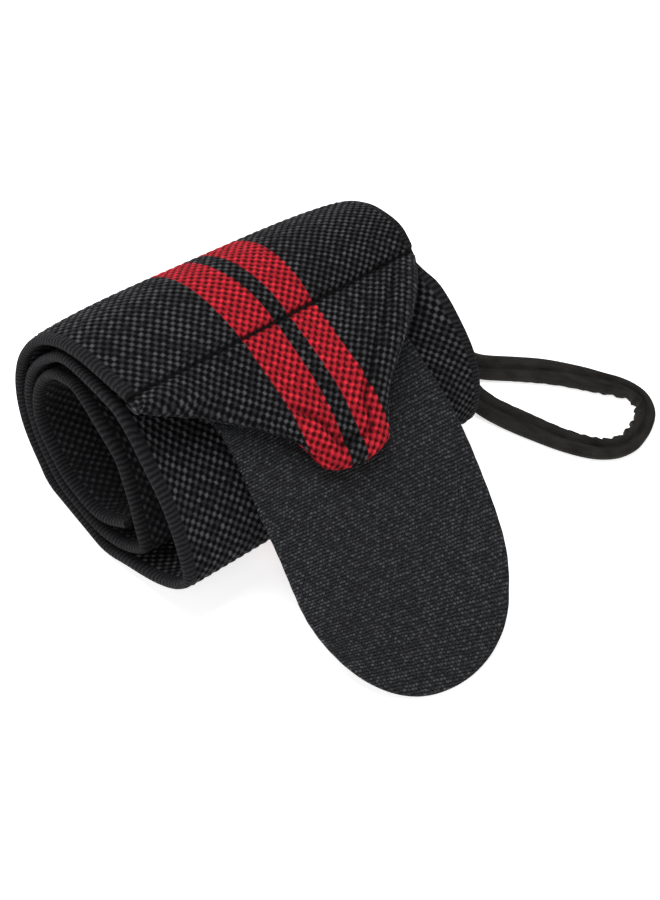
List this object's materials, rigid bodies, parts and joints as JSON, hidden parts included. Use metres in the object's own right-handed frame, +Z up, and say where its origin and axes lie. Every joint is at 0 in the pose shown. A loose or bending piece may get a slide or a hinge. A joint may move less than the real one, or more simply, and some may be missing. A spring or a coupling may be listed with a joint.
{
  "type": "wrist wrap",
  "caption": "Rolled elastic wrist wrap with a pointed end, a hook tab with a half-round end and a thumb loop, lying on a surface.",
  "frame": {"origin": "middle of the bounding box on the surface that the wrap lies on", "axes": "+X along the roll's axis towards the thumb loop, -Y the way the hook tab slopes down, +Z up"},
  "size_m": [0.1224, 0.0926, 0.0402],
  "materials": {
    "band_cloth": "coarse matt weave, black with two red stripes",
    "tab_cloth": "fine woven back of hook tape, black with a slight sparkle",
    "loop_elastic": "matt black elastic"
  },
  "bodies": {
    "root": {"wrap_band": "band_cloth", "hook_tab": "tab_cloth", "thumb_loop": "loop_elastic"}
  },
  "joints": []
}
